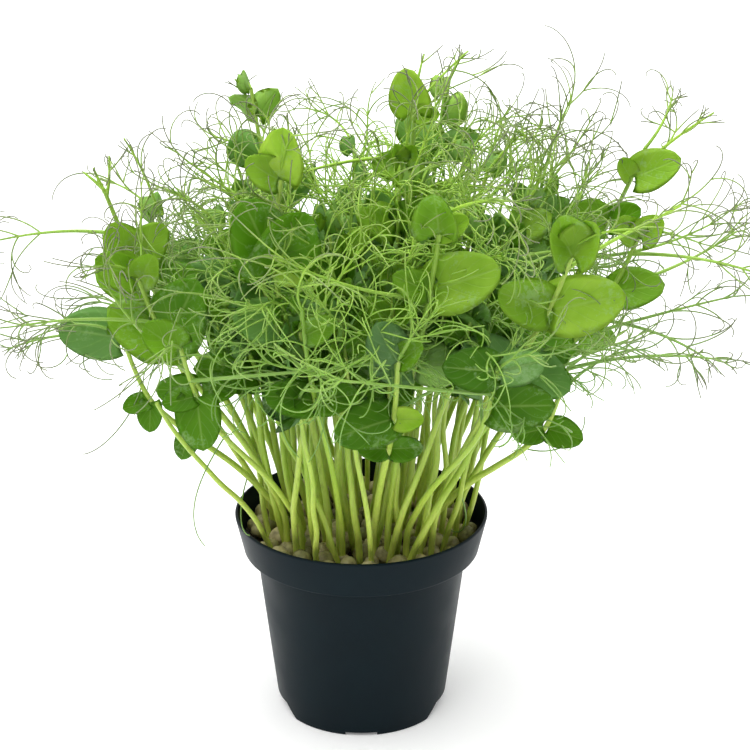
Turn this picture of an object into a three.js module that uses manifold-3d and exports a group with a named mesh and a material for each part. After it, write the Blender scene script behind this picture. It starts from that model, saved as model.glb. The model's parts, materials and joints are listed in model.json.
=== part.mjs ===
// A potted clump of pea shoots: a round nursery pot with a deep collar and four arc feet, the plug
// of growing medium in it, a bed of sprouted peas on the plug, and shoots growing out of the bed.
// Each shoot is a stem, a pair of leaves clasping it and a spray of tendrils at its tip.
// Millimetres, +Z up. The origin is on the pot's axis, at the surface that the pot stands on.
import * as THREE from "three";
import { mergeVertices } from "three/addons/utils/BufferGeometryUtils.js";
import Module from "manifold-3d";

const wasm = await Module();
wasm.setup();

// Pot
const POT_HEIGHT = 100;
const RIM_RADIUS = 60;
const COLLAR_HEIGHT = 18.5;
const COLLAR_FOOT_RADIUS = 56.2;
const SHOULDER_RADIUS = 50.1;
const BASE_RADIUS = 40.4;
const WALL = 1.2;
const LIP = 0.6; // half the width of the rolled top edge
const POT_SIDES = 48;

// Under the pot: a raised floor, wide gaps left and right, and narrow ones at the front and back
const FLOOR_LIFT = 6.2;
const FLOOR_RADIUS = 29;
const SIDE_GAP = { top: 19.6, foot: 25.8 }; // half widths
const FRONT_GAP = { half: 7.5, height: 1.6 };
const DRAIN_RADIUS = 3.6;
const DRAIN_CIRCLE = 18;
const DRAINS = 6;

// Filling
const GAP = 0.3; // between pieces that touch
const PLUG_TOP = 85.5;
const BED_BOTTOM = PLUG_TOP + GAP;
const MAT_DEPTH = 3.2; // of the roots and seed coats that the peas stand in
const PEA_RADIUS = 4.5;
const PEA_SINK = 2; // how far a pea's centre stands above the mat's top
const PEAS = 74; // before leaving out those that a stem stands in the way of
const BED_RADIUS = 54.5;

// Shoots
const STEM_FOOT_RADIUS = 2.1;
const STEM_TIP_RADIUS = 1.2;
const STEM_SIDES = 6;
const STEM_STEPS = 8;
const LEAVES_AT = 0.75; // of the way along a stem, where its curve passes the pair of leaves
const ROOT_SHARE = 0.4; // a root's distance from the axis, as a share of its leaves' distance
const CROWN_STEP = 34; // from the leaves to the stem's tip
const LEAN_AT_EDGE = 26; // of the tip, in degrees from vertical, on a shoot that reaches EDGE_REACH
const SPRAY_AT_EDGE = 34; // further degrees that its spray leans out
const EDGE_REACH = 126;
const BLADE_WIDTH = 0.72; // of a blade's length
const BLADE_THICKNESS = 0.9;
const BLADE_CUP = 0.16; // how far a blade's sides rise, as a share of its length
const SHEATH = 1.5; // wall of the sheath where a pair of leaves clasps the stem
const SHEATH_LENGTH = 3;
const TENDRIL_RADIUS = 0.55;
const TENDRILS = 4; // on each spray, besides its stalk
const TENDRIL_STEPS = 4;
const TENDRIL_TURN = 137; // degrees round the stalk from one tendril to the next
const TENDRIL_CURL = -40; // degrees over the last step
const STALK_SHARE = 0.6; // of the reach of the spray

// Where each shoot's pair of leaves sits round the pot's axis, in degrees from +X, millimetres out
// and millimetres up, with the length of a blade and the reach of the spray of tendrils beyond. A
// lean is the tip's own, in degrees outwards, where the rule for the others doesn't give it.
const SHOOTS = [
  { azimuth: -117, reach: 80, height: 250, blade: 30, spray: 36, lean: -12 },
  { azimuth: -104, reach: 88, height: 204, blade: 30, spray: 92 },
  { azimuth: -70, reach: 88, height: 242, blade: 34, spray: 60 },
  { azimuth: -44, reach: 112, height: 230, blade: 36, spray: 60 },
  { azimuth: -14, reach: 114, height: 218, blade: 27, spray: 70 },
  { azimuth: -58, reach: 98, height: 176, blade: 30, spray: 50 },
  { azimuth: -27, reach: 92, height: 158, blade: 22, spray: 60 },
  { azimuth: -80, reach: 84, height: 180, blade: 26, spray: 56 },
  { azimuth: -150, reach: 99, height: 205, blade: 36, spray: 66 },
  { azimuth: -134, reach: 98, height: 180, blade: 25, spray: 56 },
  { azimuth: -168, reach: 98, height: 164, blade: 20, spray: 58 },
  { azimuth: 178, reach: 104, height: 226, blade: 28, spray: 78 },
  { azimuth: 10, reach: 118, height: 240, blade: 24, spray: 58 },
  { azimuth: 28, reach: 26, height: 272, blade: 26, spray: 30 },
  { azimuth: 38, reach: 98, height: 204, blade: 30, spray: 66 },
  { azimuth: 66, reach: 88, height: 246, blade: 30, spray: 56 },
  { azimuth: 92, reach: 98, height: 212, blade: 30, spray: 66 },
  { azimuth: 124, reach: 84, height: 252, blade: 30, spray: 54 },
  { azimuth: 150, reach: 100, height: 196, blade: 30, spray: 64 },
];

const UP = new THREE.Vector3(0, 0, 1);
const radians = THREE.MathUtils.degToRad;

// A fixed scatter from 0 to 1, so that no two shoots are quite alike.
function vary(shoot, trait) {
  const wave = Math.sin(shoot * 12.9898 + trait * 78.233) * 43758.5453;
  return wave - Math.floor(wave);
}

function between(low, high, share) {
  return low + (high - low) * share;
}

function polar(azimuth, reach, height) {
  const turn = radians(azimuth);
  return new THREE.Vector3(reach * Math.cos(turn), reach * Math.sin(turn), height);
}

// ---- Solids ----

function solid(geometry) {
  const bare = new THREE.BufferGeometry();
  bare.setAttribute("position", geometry.getAttribute("position"));
  if (geometry.index) bare.setIndex(geometry.index);
  const merged = mergeVertices(bare, 1e-3);
  return new wasm.Manifold(
    new wasm.Mesh({
      numProp: 3,
      vertProperties: merged.getAttribute("position").array,
      triVerts: new Uint32Array(merged.index.array),
    }),
  );
}

function union(solids) {
  return solids.reduce((joined, next) => joined.add(next));
}

// The largest body of a solid, without the slivers that a cut can leave.
function largest(shape) {
  return shape.decompose().reduce((a, b) => (a.volume() > b.volume() ? a : b));
}

function geometryOf(manifold) {
  const mesh = manifold.getMesh();
  const geometry = new THREE.BufferGeometry();
  geometry.setAttribute("position", new THREE.BufferAttribute(mesh.vertProperties, 3));
  geometry.setIndex(new THREE.BufferAttribute(mesh.triVerts, 1));
  geometry.computeVertexNormals();
  return geometry;
}

// A solid of revolution about Z, from [radius, height] pairs that start and end on the axis.
function turned(profile, sides) {
  const points = profile.map(([radius, height]) => new THREE.Vector2(radius, height));
  return solid(new THREE.LatheGeometry(points, sides).rotateX(Math.PI / 2));
}

function drum(radius, bottom, top, sides) {
  return turned([[0, bottom], [radius, bottom], [radius, top], [0, top]], sides);
}

// A bar along X whose section is [y, z] pairs.
function bar(section, length) {
  const shape = new THREE.Shape(section.map(([y, z]) => new THREE.Vector2(y, z)));
  const geometry = new THREE.ExtrudeGeometry(shape, { depth: length, bevelEnabled: false });
  geometry.translate(0, 0, -length / 2).rotateX(Math.PI / 2).rotateZ(Math.PI / 2);
  return solid(geometry);
}

// A tube along a curve, filled, that tapers from its foot to its tip.
function taperedTube(curve, footRadius, tipRadius, sides, steps) {
  const corners = Array.from({ length: sides }, (_, i) => polar((i * 360) / sides, footRadius, 0));
  const section = new THREE.Shape(corners.map(({ x, y }) => new THREE.Vector2(x, y)));
  const extrusion = { extrudePath: curve, steps, bevelEnabled: false };
  const geometry = new THREE.ExtrudeGeometry(section, extrusion);
  const stations = curve.getSpacedPoints(steps);
  const position = geometry.getAttribute("position");
  const corner = new THREE.Vector3();
  for (let i = 0; i < position.count; i++) {
    corner.fromBufferAttribute(position, i);
    const distances = stations.map((station) => station.distanceTo(corner));
    const nearest = distances.indexOf(Math.min(...distances));
    const shrink = between(0, 1 - tipRadius / footRadius, nearest / steps);
    corner.lerp(stations[nearest], shrink);
    position.setXYZ(i, corner.x, corner.y, corner.z);
  }
  return solid(geometry);
}

// ---- Pot ----

// The space under the pot's floor, grown all round by margin.
function underside(margin) {
  const depth = 1; // below the surface that the pot stands on
  const { top, foot } = SIDE_GAP;
  const lift = FLOOR_LIFT + margin;
  const side = [
    [-foot - margin, -depth],
    [foot + margin, -depth],
    [foot + margin, 0],
    [top + margin, lift],
    [-top - margin, lift],
    [-foot - margin, 0],
  ];
  const half = FRONT_GAP.half + margin;
  const height = FRONT_GAP.height + margin;
  const front = [[-half, -depth], [half, -depth], [half, height], [-half, height]];
  const across = 3 * BASE_RADIUS;
  return union([
    drum(FLOOR_RADIUS + margin, -depth, lift, POT_SIDES),
    bar(side, across),
    bar(front, across).rotate([0, 0, 90]),
  ]);
}

// The outside of the wall if inset is 0, or the surface that lies inset inside it.
function wallProfile(inset, bottom, top) {
  const slope = (SHOULDER_RADIUS - BASE_RADIUS) / (POT_HEIGHT - COLLAR_HEIGHT);
  const shoulder = POT_HEIGHT - COLLAR_HEIGHT + inset;
  const chamfer = 1;
  return [
    [0, bottom],
    [BASE_RADIUS + slope * bottom - inset, bottom],
    [SHOULDER_RADIUS - inset, shoulder],
    [COLLAR_FOOT_RADIUS - chamfer - inset, shoulder],
    [COLLAR_FOOT_RADIUS - inset, shoulder + chamfer],
    [RIM_RADIUS - inset, top],
  ];
}

function makePot() {
  const outside = [
    ...wallProfile(0, 0, POT_HEIGHT - LIP),
    [RIM_RADIUS - LIP, POT_HEIGHT],
    [0, POT_HEIGHT],
  ];
  const above = 1;
  const inside = [
    ...wallProfile(WALL, WALL, POT_HEIGHT + above),
    [0, POT_HEIGHT + above],
  ];
  const shell = turned(outside, POT_SIDES).subtract(underside(0));
  const hollow = turned(inside, POT_SIDES).subtract(underside(WALL));
  const drain = drum(DRAIN_RADIUS, 0, FLOOR_LIFT + 2 * WALL, 12);
  const ring = Array.from({ length: DRAINS }, (_, i) =>
    drain.translate(polar((i * 360) / DRAINS, DRAIN_CIRCLE, 0).toArray()),
  );
  return shell.subtract(union([hollow, drain, ...ring]));
}

// ---- Filling ----

function makePlug() {
  const bottom = FLOOR_LIFT + WALL + GAP;
  const top = POT_HEIGHT + 1;
  return turned([...wallProfile(WALL + GAP, bottom, top), [0, top]], POT_SIDES)
    .trimByPlane([0, 0, -1], -PLUG_TOP);
}

// Peas laid out as the seeds of a sunflower are, joined by the mat of roots that they stand in,
// with a hole in the mat for each stem.
function makeBed() {
  const matTop = BED_BOTTOM + MAT_DEPTH;
  const goldenAngle = 180 * (3 - Math.sqrt(5));
  const pea = solid(new THREE.IcosahedronGeometry(PEA_RADIUS, 0));
  const holes = SHOOTS.map((shoot) => makeStem(shoot, GAP, BED_BOTTOM - 1));
  const mat = drum(BED_RADIUS, BED_BOTTOM, matTop, 32).subtract(union(holes));
  const clear = PEA_RADIUS + STEM_FOOT_RADIUS + 2 * GAP;
  const peas = Array.from({ length: PEAS }, (_, i) => {
    const reach = (BED_RADIUS - PEA_RADIUS) * Math.sqrt((i + 0.5) / PEAS);
    return polar(i * goldenAngle, reach, matTop + PEA_SINK);
  })
    .filter((centre) => SHOOTS.every((shoot) => stemFoot(shoot, centre.z).distanceTo(centre) > clear))
    .map((centre, i) =>
      pea.rotate([360 * vary(i, 1), 360 * vary(i, 2), 0]).translate(centre.toArray()),
    );
  return union([mat, ...peas]);
}

// ---- Shoots ----

// Where a shoot's stem stands at a height inside the bed.
function stemFoot(shoot, height) {
  return polar(shoot.azimuth, shoot.reach * ROOT_SHARE, height);
}

// The stem's curve: up out of the bed, outwards through the pair of leaves, and on to the tip.
function stemCurve(shoot, bottom = BED_BOTTOM) {
  const leaves = polar(shoot.azimuth, shoot.reach, shoot.height);
  const rim = stemFoot(shoot, POT_HEIGHT);
  const third = rim.clone().lerp(leaves, 0.25);
  third.z = between(POT_HEIGHT, shoot.height, 0.34);
  const lean = shoot.lean ?? (LEAN_AT_EDGE * shoot.reach) / EDGE_REACH;
  const tip = polar(shoot.azimuth, CROWN_STEP * Math.sin(radians(lean)), 0).add(leaves);
  tip.z += CROWN_STEP * Math.cos(radians(lean));
  return new THREE.CatmullRomCurve3([stemFoot(shoot, bottom), rim, third, leaves, tip]);
}

function makeStem(shoot, margin = 0, bottom = BED_BOTTOM) {
  const foot = STEM_FOOT_RADIUS + margin;
  const tip = STEM_TIP_RADIUS + margin;
  return taperedTube(stemCurve(shoot, bottom), foot, tip, STEM_SIDES, STEM_STEPS);
}

// One leaf lying along +Y from the origin and facing +Z: a flattened ball, widest near its base.
function blade(length) {
  const geometry = new THREE.SphereGeometry(0.5, 8, 5);
  const position = geometry.getAttribute("position");
  for (let i = 0; i < position.count; i++) {
    const along = position.getY(i) + 0.5;
    const across = position.getX(i) * (1.25 - 0.5 * along) * BLADE_WIDTH * length;
    const cup = BLADE_CUP * length * (2 * position.getX(i)) ** 2;
    const thick = position.getZ(i) * BLADE_THICKNESS * 2;
    position.setXYZ(i, across, along * length, thick + cup);
  }
  return solid(geometry);
}

// Turns a solid so that +Y points along an axis and +Z faces as nearly as it can towards facing,
// then moves it to a place.
function aimed(shape, axis, facing, place) {
  const y = axis.clone().normalize();
  const x = new THREE.Vector3().crossVectors(y, facing).normalize();
  const z = new THREE.Vector3().crossVectors(x, y);
  return shape.transform(new THREE.Matrix4().makeBasis(x, y, z).setPosition(place).elements);
}

// Two leaves that clasp the stem from either side, joined by the sheath round it.
function makeLeaves(shoot, index) {
  const curve = stemCurve(shoot);
  const node = curve.getPoint(LEAVES_AT);
  const along = curve.getTangent(LEAVES_AT);
  const outward = polar(shoot.azimuth, 1, 0);
  const side = new THREE.Vector3().crossVectors(UP, outward);
  side.applyAxisAngle(along, radians(between(-35, 35, vary(index, 3))));
  const facing = outward.clone().addScaledVector(UP, between(0.3, 1.1, vary(index, 4)));
  const radius = between(STEM_FOOT_RADIUS, STEM_TIP_RADIUS, LEAVES_AT);
  const spread = radians(between(48, 72, vary(index, 5)));
  const pair = [-1, 1].map((hand) => {
    const axis = along.clone().multiplyScalar(Math.cos(spread));
    axis.addScaledVector(side, hand * Math.sin(spread));
    const length = shoot.blade * between(0.88, 1, vary(index, 6 + hand));
    return aimed(blade(length), axis, facing, node.clone().addScaledVector(side, hand * radius));
  });
  const sheath = new THREE.CylinderGeometry(radius + SHEATH, radius + SHEATH, SHEATH_LENGTH, 8);
  const joined = union([...pair, aimed(solid(sheath), along, outward, node)]);
  return largest(joined.subtract(makeStem(shoot, GAP)));
}

// A curve that leaves a point along a heading and bends round an axis, more tightly to its end.
function curling(start, heading, axis, length, curl) {
  const points = [start.clone()];
  const step = heading.clone().normalize();
  for (let i = 1; i <= TENDRIL_STEPS; i++) {
    step.applyAxisAngle(axis, radians((curl * i) / TENDRIL_STEPS));
    points.push(points[i - 1].clone().addScaledVector(step, length / TENDRIL_STEPS));
  }
  return new THREE.CatmullRomCurve3(points);
}

// A stalk beyond the stem's tip that branches into tendrils, each curling away from the stalk.
function makeTendrils(shoot, index) {
  const curve = stemCurve(shoot);
  const along = curve.getTangent(1);
  const side = new THREE.Vector3().crossVectors(UP, polar(shoot.azimuth, 1, 0));
  const start = curve.getPoint(1).addScaledVector(along, 3 * GAP);
  const spread = (SPRAY_AT_EDGE * shoot.reach) / EDGE_REACH;
  const turn = radians(between(0.7, 1.3, vary(index, 9)) * spread);
  const heading = along.clone().applyAxisAngle(side, turn);
  const stalk = curling(start, heading, side, shoot.spray * STALK_SHARE, 12);
  const rods = [taperedTube(stalk, 1.5 * TENDRIL_RADIUS, TENDRIL_RADIUS, 4, TENDRIL_STEPS)];
  for (let i = 0; i < TENDRILS; i++) {
    const from = between(0.3, 0.95, i / (TENDRILS - 1));
    const round = radians(360 * vary(index, 10) + TENDRIL_TURN * i);
    const away = side.clone().applyAxisAngle(heading, round);
    const leaving = stalk.getTangentAt(from).addScaledVector(away, 0.75);
    const bend = new THREE.Vector3().crossVectors(leaving, away).normalize();
    const length = shoot.spray * (0.82 - 0.42 * from);
    const tendril = curling(stalk.getPointAt(from), leaving, bend, length, TENDRIL_CURL);
    rods.push(taperedTube(tendril, TENDRIL_RADIUS, 0.7 * TENDRIL_RADIUS, 4, TENDRIL_STEPS));
  }
  return union(rods);
}

// ---- Object ----

const finishes = {
  pot: { color: 0x1b2428, roughness: 0.5, metalness: 0 },
  plug: { color: 0x2a1d14, roughness: 0.95, metalness: 0 },
  peas: { color: 0xa79b6c, roughness: 0.7, metalness: 0 },
  stem: { color: 0xa9c765, roughness: 0.45, metalness: 0 },
  leaves: { color: 0x4f8f2c, roughness: 0.5, metalness: 0 },
  tendrils: { color: 0x6f9f52, roughness: 0.5, metalness: 0 },
};
const potOfShoots = new THREE.Group();

function place(name, finish, shape) {
  const mesh = new THREE.Mesh(geometryOf(shape), new THREE.MeshStandardMaterial(finishes[finish]));
  mesh.name = name;
  potOfShoots.add(mesh);
}

place("pot", "pot", makePot());
place("growing_medium", "plug", makePlug());
place("sprouted_peas", "peas", makeBed());
SHOOTS.forEach((shoot, index) => {
  const number = String(index + 1).padStart(2, "0");
  place(`shoot_${number}_stem`, "stem", makeStem(shoot));
  place(`shoot_${number}_leaves`, "leaves", makeLeaves(shoot, index));
  place(`shoot_${number}_tendrils`, "tendrils", makeTendrils(shoot, index));
});

export default potOfShoots;
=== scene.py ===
import json
import math
import random

import bmesh
import bpy
from mathutils import Matrix, Quaternion, Vector

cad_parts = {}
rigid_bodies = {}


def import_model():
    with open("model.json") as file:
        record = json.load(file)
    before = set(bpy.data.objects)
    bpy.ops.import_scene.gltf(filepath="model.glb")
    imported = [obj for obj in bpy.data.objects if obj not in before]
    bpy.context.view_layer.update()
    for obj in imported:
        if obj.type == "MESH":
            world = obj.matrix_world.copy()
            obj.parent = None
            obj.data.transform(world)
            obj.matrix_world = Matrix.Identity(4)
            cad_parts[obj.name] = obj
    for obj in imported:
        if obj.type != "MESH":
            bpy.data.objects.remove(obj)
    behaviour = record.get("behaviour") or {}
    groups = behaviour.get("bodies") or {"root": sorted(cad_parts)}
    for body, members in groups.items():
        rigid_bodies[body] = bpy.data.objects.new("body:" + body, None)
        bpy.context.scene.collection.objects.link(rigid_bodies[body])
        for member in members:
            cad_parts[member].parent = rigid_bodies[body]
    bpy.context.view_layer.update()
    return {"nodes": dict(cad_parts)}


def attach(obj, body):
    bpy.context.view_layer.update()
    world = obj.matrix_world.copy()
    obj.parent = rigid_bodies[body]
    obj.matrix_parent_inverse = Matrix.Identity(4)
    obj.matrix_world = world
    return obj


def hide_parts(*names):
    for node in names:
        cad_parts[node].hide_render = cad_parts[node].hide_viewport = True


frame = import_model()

MM = 0.001
UP = Vector((0, 0, 1))

# Pot, in millimetres, as the CAD model has it
POT_HEIGHT = 100
RIM_RADIUS = 60
COLLAR_BOTTOM = 81.5
COLLAR_FOOT_RADIUS = 56.2
SHOULDER_RADIUS = 50.1
BASE_RADIUS = 40.4
WALL = 1.2
FLOOR_LIFT = 6.2
FLOOR_RADIUS = 29
SIDE_GAP_TOP = 19.6
SIDE_GAP_FOOT = 25.8
FRONT_GAP = 7.5
FRONT_GAP_HEIGHT = 1.6
DRAIN_RADIUS = 3.6
DRAIN_CIRCLE = 18

# Filling, in millimetres
PEAT_TOP = 86.5
PEA_RADIUS = 4.3
PEAS = 112
BED_RADIUS = 54
GOLDEN_ANGLE = math.pi * (3 - math.sqrt(5))

# Stems, in millimetres
CAD_SHOOTS = 19
CAD_STEM_SIDES = 6
OTHER_SHOOTS = 66
ROOT_CIRCLE = 47
STEM_TIP_RADIUS = 1.0
KINK = 1.1
# in the middle and at the outside of the clump: how far out a tip is, how high, how much it leans
# in degrees, and how far it strays round the axis from its root in radians
TIP_REACH = (14, 98)
TIP_HEIGHT = (275, 218)
TIP_LEAN = (4, 26)
TIP_STRAY = (2.0, 0.6)
# the clump rises towards the right, and falls faster towards the left
RISE_RIGHT = 0.1
FALL_LEFT = 0.28

# Nodes of a shoot, from its tip down: millimetres back from the tip, the length of its leaves,
# their spread from the stem in radians, and the chances that it has leaves and a spray; then the
# lowest node, how far from the stem's middle a leaf starts, and the heights over which the leaves'
# tone goes from painted shade, dark low in the clump, to painted light, pale at its top
NODES_BACK = (0, 13, 31, 56, 86, 118)
LEAF_LENGTHS = (12, 17, 24, 28, 28, 24)
LEAF_SPREADS = (0.35, 0.7, 1.0, 1.1, 1.2, 1.3)
LEAF_CHANCES = (1.0, 0.95, 0.95, 0.85, 0.8, 0.6)
SPRAY_CHANCES = (0, 0.7, 0.95, 0.55, 0.2, 0.1)
LOWEST_NODE = 174
LEAF_FOOT = 1.1
PAINTED_LIGHT_FROM = 172
PAINTED_LIGHT_SPAN = 110

# Tendrils, as radii in millimetres, and how much one sags over its length
TENDRIL_RADIUS = 0.46
FINEST = 0.25
TENDRIL_SAG = 0.12
STALK_SAG = 0.05

# The space that the tendrils fill, in metres: a dome with a flat crown, over the bare stems
REACH_X = 0.190
REACH_Y = 0.172
TOP = 0.318
CROWN_X = 0.04
CROWN_RADIUS = 0.09
DEEPEST_DROP = 0.075
DROP_LEFT = 0.7
DROP_RIGHT = 0.9
SKIRT_HEIGHT = 0.124
SKIRT_RADIUS = 0.06
SKIRT_SLOPE = 0.6
TABLE_CLEARANCE = 0.03


# ---- Nodes and colours ----

def linear(hex_colour):
    """A colour for a node socket, from an sRGB hex value."""
    parts = [int(hex_colour[i:i + 2], 16) / 255 for i in (1, 3, 5)]
    return [p / 12.92 if p <= 0.04045 else ((p + 0.055) / 1.055) ** 2.4 for p in parts] + [1.0]


def spaced(size):
    """The scale of a pattern whose marks are this many millimetres apart."""
    return 1 / (size * MM)


def add(tree, kind, inputs=None, **settings):
    """Adds a node with its settings. An input is a value, a socket, or a node's first output."""
    node = tree.nodes.new(kind)
    for name, value in settings.items():
        setattr(node, name, value)
    for key, value in (inputs or {}).items():
        if isinstance(value, bpy.types.Node):
            value = next(out for out in value.outputs if out.enabled)
        if isinstance(value, bpy.types.NodeSocket):
            tree.links.new(value, node.inputs[key])
        else:
            node.inputs[key].default_value = value
    return node


def emptied(owner):
    """The node tree of a material or a world, with nothing in it."""
    owner.use_nodes = True
    owner.node_tree.nodes.clear()
    return owner.node_tree


def new_material(name):
    """A material, its empty tree, and the Object coordinates in it."""
    material = bpy.data.materials.new(name)
    tree = emptied(material)
    return material, tree, add(tree, "ShaderNodeTexCoord").outputs["Object"]


def with_surface(material, shader):
    add(material.node_tree, "ShaderNodeOutputMaterial", {"Surface": shader})
    return material


def moulded_polypropylene():
    """Black polypropylene from a polished mould: a satin skin with faint flow lines."""
    material, tree, place = new_material("moulded black polypropylene")
    clouds = add(tree, "ShaderNodeTexNoise", {"Vector": place, "Scale": spaced(22), "Detail": 4})
    drawn = add(tree, "ShaderNodeMapping", {"Vector": place, "Scale": (1, 1, 0.06)})
    flow = add(tree, "ShaderNodeTexNoise", {"Vector": drawn, "Scale": spaced(2.4), "Detail": 2})
    skin = add(tree, "ShaderNodeTexNoise", {"Vector": place, "Scale": spaced(0.65), "Detail": 1})
    colour = add(tree, "ShaderNodeMix", {
        "Factor": clouds, 6: linear("#07141a"), 7: linear("#0b1c22")},
        data_type="RGBA")
    matt = add(tree, "ShaderNodeMapRange", {
        "Value": clouds, "From Min": 0.35, "From Max": 0.65,
        "To Min": 0.36, "To Max": 0.47})
    relief = add(tree, "ShaderNodeMath", {0: flow, 1: 0.5, 2: skin}, operation="MULTIPLY_ADD")
    bump = add(tree, "ShaderNodeBump", {"Height": relief, "Strength": 0.12, "Distance": 0.0002})
    shader = add(tree, "ShaderNodeBsdfPrincipled", {
        "Base Color": colour, "Roughness": matt, "Normal": bump, "IOR": 1.49,
        "Specular IOR Level": 0.09})
    return with_surface(material, shader)


def moist_peat():
    """Moist peat and coir: near-black crumbs with lighter fibres, and a shine only where wet."""
    material, tree, place = new_material("moist peat")
    crumbs = add(tree, "ShaderNodeTexVoronoi", {"Vector": place, "Scale": spaced(2.6)})
    blotches = add(tree, "ShaderNodeTexNoise", {"Vector": place, "Scale": spaced(7), "Detail": 5})
    ramp = add(tree, "ShaderNodeValToRGB", {"Fac": blotches})
    ramp.color_ramp.elements[0].position = 0.35
    ramp.color_ramp.elements[0].color = linear("#120c08")
    ramp.color_ramp.elements[1].position = 0.72
    ramp.color_ramp.elements[1].color = linear("#4a3526")
    bump = add(tree, "ShaderNodeBump", {
        "Height": crumbs, "Strength": 0.9, "Distance": 0.0015})
    wet = add(tree, "ShaderNodeMapRange", {
        "Value": blotches, "To Min": 0.7, "To Max": 0.98})
    shader = add(tree, "ShaderNodeBsdfPrincipled", {
        "Base Color": ramp, "Roughness": wet, "Normal": bump})
    return with_surface(material, shader)


def swollen_pea_coat():
    """The swollen coat of a sprouted pea: tan to olive, blotched, finely wrinkled, a little wet."""
    material, tree, place = new_material("swollen pea coat")
    tone = add(tree, "ShaderNodeAttribute", attribute_name="tone").outputs["Fac"]
    blotches = add(tree, "ShaderNodeTexNoise", {
        "Vector": place, "Scale": spaced(3.8), "Detail": 4})
    wrinkles = add(tree, "ShaderNodeTexNoise", {
        "Vector": place, "Scale": spaced(1.4), "Detail": 3, "Distortion": 1.2})
    coat = add(tree, "ShaderNodeMix", {
        "Factor": tone, 6: linear("#71733a"), 7: linear("#d2c492")}, data_type="RGBA")
    stain = add(tree, "ShaderNodeMapRange", {
        "Value": blotches, "From Min": 0.45, "From Max": 0.7, "To Max": 0.85})
    colour = add(tree, "ShaderNodeMix", {
        "Factor": stain, 6: coat, 7: linear("#54481f")}, data_type="RGBA")
    bump = add(tree, "ShaderNodeBump", {
        "Height": wrinkles, "Strength": 0.5, "Distance": 0.0006})
    sheen = add(tree, "ShaderNodeMapRange", {
        "Value": wrinkles, "To Min": 0.35, "To Max": 0.65})
    shader = add(tree, "ShaderNodeBsdfPrincipled", {
        "Base Color": colour, "Roughness": sheen, "Normal": bump,
        "Subsurface Weight": 0.15, "Subsurface Radius": (1.0, 0.8, 0.3),
        "Subsurface Scale": 0.0015})
    return with_surface(material, shader)


def waxy_stem():
    """The waxy skin of a pea stem: a pale yellow-green at the foot, where little light reaches it,
    and greener above, with fine streaks along it."""
    material, tree, place = new_material("waxy pea stem")
    tone = add(tree, "ShaderNodeAttribute", attribute_name="tone").outputs["Fac"]
    height = add(tree, "ShaderNodeSeparateXYZ", {"Vector": place}).outputs["Z"]
    drawn = add(tree, "ShaderNodeMapping", {"Vector": place, "Scale": (1, 1, 0.05)})
    streaks = add(tree, "ShaderNodeTexNoise", {
        "Vector": drawn, "Scale": spaced(0.9), "Detail": 2})
    rise = add(tree, "ShaderNodeMapRange", {
        "Value": height, "From Min": 95 * MM, "From Max": 215 * MM})
    ramp = add(tree, "ShaderNodeValToRGB", {"Fac": rise})
    ramp.color_ramp.elements[0].color = linear("#b6c550")
    ramp.color_ramp.elements[1].color = linear("#76a032")
    middle = ramp.color_ramp.elements.new(0.35)
    middle.color = linear("#9aba3c")
    pale = add(tree, "ShaderNodeMath", {0: tone, 1: 0.4}, operation="MULTIPLY")
    paler = add(tree, "ShaderNodeMix", {
        "Factor": pale, 6: ramp, 7: linear("#d0de72")}, data_type="RGBA")
    share = add(tree, "ShaderNodeMapRange", {
        "Value": streaks, "From Min": 0.45, "From Max": 0.8, "To Max": 0.5})
    colour = add(tree, "ShaderNodeMix", {
        "Factor": share, 6: paler, 7: linear("#7f9c2c")}, data_type="RGBA")
    bump = add(tree, "ShaderNodeBump", {
        "Height": streaks, "Strength": 0.25, "Distance": 0.0003})
    matt = add(tree, "ShaderNodeMapRange", {
        "Value": streaks, "To Min": 0.34, "To Max": 0.5})
    shader = add(tree, "ShaderNodeBsdfPrincipled", {
        "Base Color": colour, "Roughness": matt, "Normal": bump,
        "Specular IOR Level": 0.35, "Subsurface Weight": 0.3,
        "Subsurface Radius": (0.6, 1.0, 0.2), "Subsurface Scale": 0.002})
    return with_surface(material, shader)


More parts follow.
